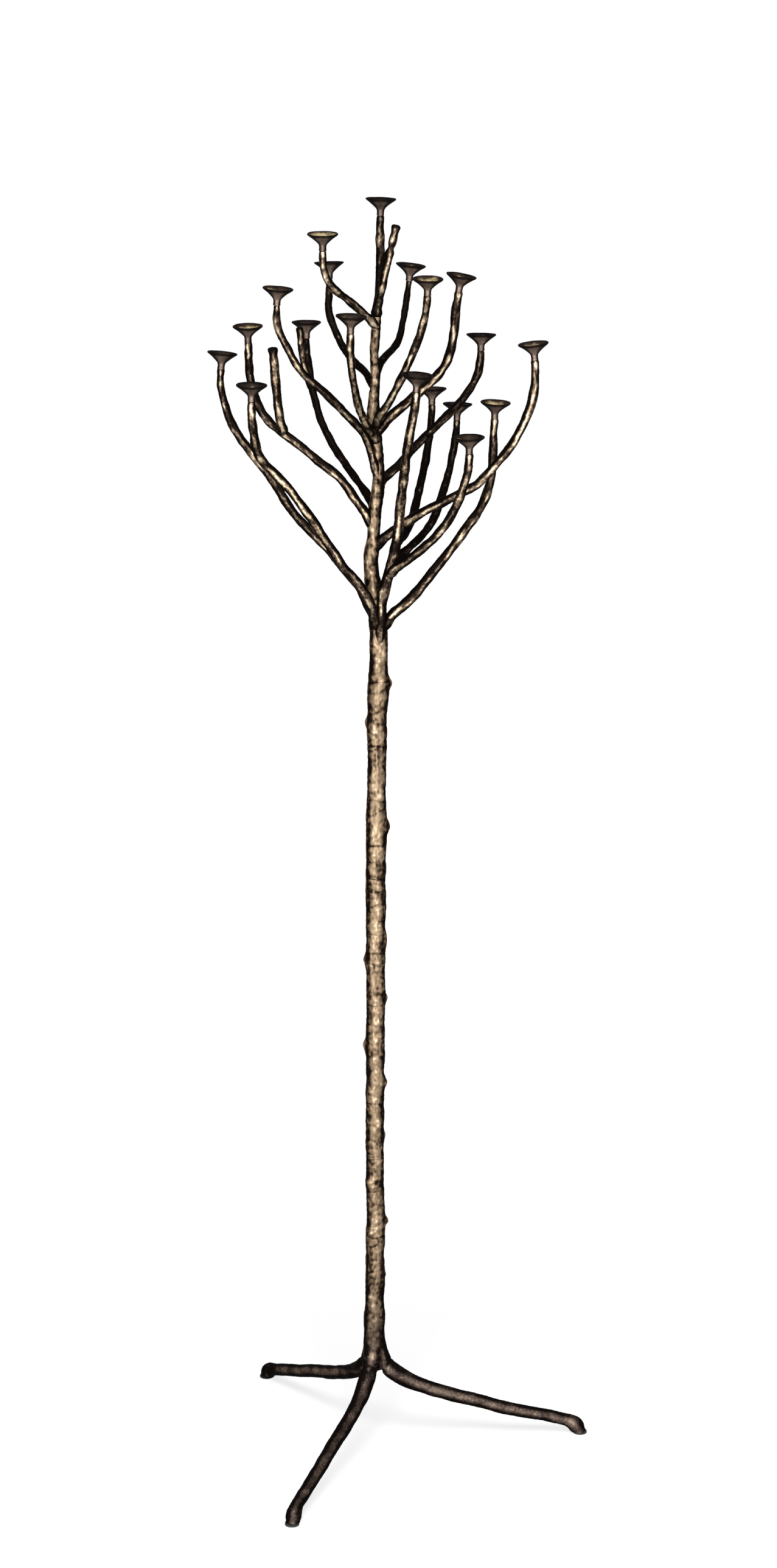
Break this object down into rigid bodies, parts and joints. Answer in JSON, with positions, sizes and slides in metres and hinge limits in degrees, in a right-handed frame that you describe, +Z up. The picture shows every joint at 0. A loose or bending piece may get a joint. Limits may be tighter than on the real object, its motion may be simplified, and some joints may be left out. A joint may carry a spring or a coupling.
{
  "type": "candle tree",
  "caption": "Tall free-standing candle tree: a bark-covered trunk on a cast tripod, with curved twig branches that each end in a small funnel cup for one candle.",
  "frame": {"origin": "on the floor, under the middle of the whole tree's bounding box", "axes": "+Z up along the trunk; -Y towards the viewer of the picture, +X to the viewer's right"},
  "size_m": [0.5487, 0.541, 1.8297],
  "materials": {
    "bark_bronze": "antique bronze over cast bark, rubbed golden on the high places",
    "leg_bronze": "dark antique bronze, little rubbed",
    "twig_bronze": "antique bronze over cast bark, rubbed golden on the high places",
    "cup_bronze": "dull antique bronze, golden inside the bowl",
    "steel": "plain turned steel",
    "pad_rubber": "matte"
  },
  "bodies": {
    "root": {"hub": "bark_bronze", "trunk_lower": "bark_bronze", "trunk_upper": "bark_bronze", "crown_stem": "bark_bronze", "leg_left": "leg_bronze", "leg_front": "leg_bronze", "leg_right": "leg_bronze", "leader": "twig_bronze", "branch_19": "twig_bronze", "branch_11": "twig_bronze", "branch_12": "twig_bronze", "branch_15": "twig_bronze", "branch_18": "twig_bronze", "branch_17": "twig_bronze", "branch_16": "twig_bronze", "branch_14": "twig_bronze", "branch_8": "twig_bronze", "branch_9": "twig_bronze", "branch_13": "twig_bronze", "branch_4": "twig_bronze", "branch_10": "twig_bronze", "branch_7": "twig_bronze", "branch_6": "twig_bronze", "branch_3": "twig_bronze", "branch_5": "twig_bronze", "branch_2": "twig_bronze", "bare_twig_left": "twig_bronze", "bare_twig_back": "twig_bronze", "bare_twig_top": "twig_bronze", "cup_1": "cup_bronze", "cup_19": "cup_bronze", "cup_11": "cup_bronze", "cup_12": "cup_bronze", "cup_15": "cup_bronze", "cup_18": "cup_bronze", "cup_17": "cup_bronze", "cup_16": "cup_bronze", "cup_14": "cup_bronze", "cup_8": "cup_bronze", "cup_9": "cup_bronze", "cup_13": "cup_bronze", "cup_4": "cup_bronze", "cup_10": "cup_bronze", "cup_7": "cup_bronze", "cup_6": "cup_bronze", "cup_3": "cup_bronze", "cup_5": "cup_bronze", "cup_2": "cup_bronze", "trunk_stud": "steel", "crown_stud": "steel", "tie_rod": "steel", "tie_washer": "steel", "tie_nut": "steel", "foot_pad_left": "pad_rubber", "foot_pad_front": "pad_rubber", "foot_pad_right": "pad_rubber"}
  },
  "joints": []
}
